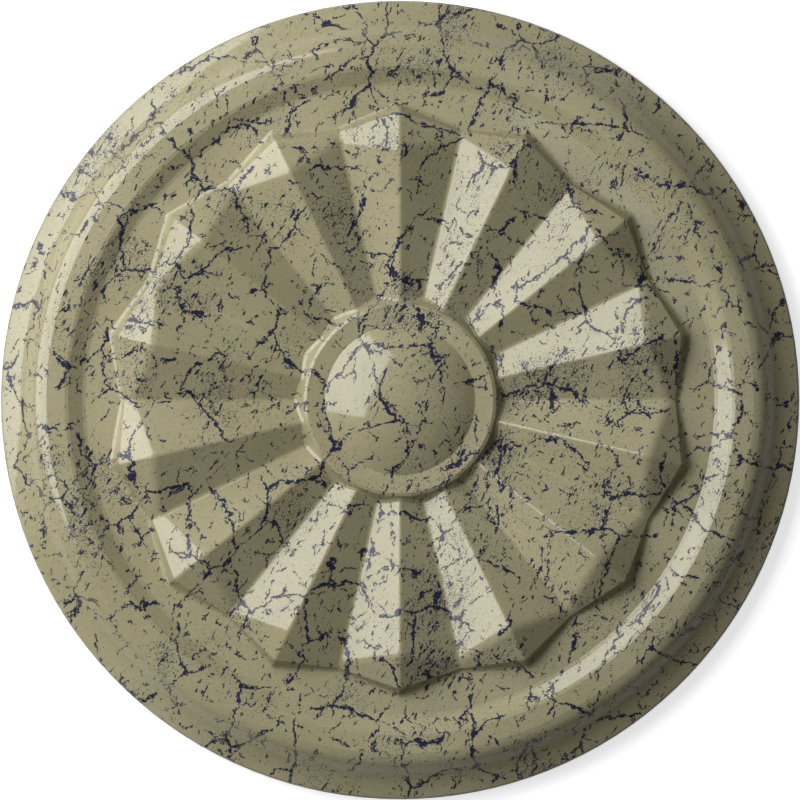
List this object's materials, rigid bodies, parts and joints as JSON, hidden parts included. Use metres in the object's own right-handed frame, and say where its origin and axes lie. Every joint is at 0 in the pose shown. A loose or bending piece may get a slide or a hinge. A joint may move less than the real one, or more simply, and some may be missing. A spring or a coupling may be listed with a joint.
{
  "type": "ceiling medallion",
  "caption": "Round moulded ceiling medallion: hollow rim, raised bead, folded fluted petals that rise outwards and a low domed boss, in tan paint with dark crackle.",
  "frame": {"origin": "centre of the flat back face", "axes": "+Z out of the decorated face, +X towards a valley between two petals, +Y towards the tip of a petal"},
  "size_m": [0.254, 0.254, 0.0239],
  "materials": {
    "crackle_paint": "satin tan paint with fine dark blue-grey crackle lines, on moulded polyurethane foam"
  },
  "bodies": {
    "root": {"medallion": "crackle_paint"}
  },
  "joints": []
}
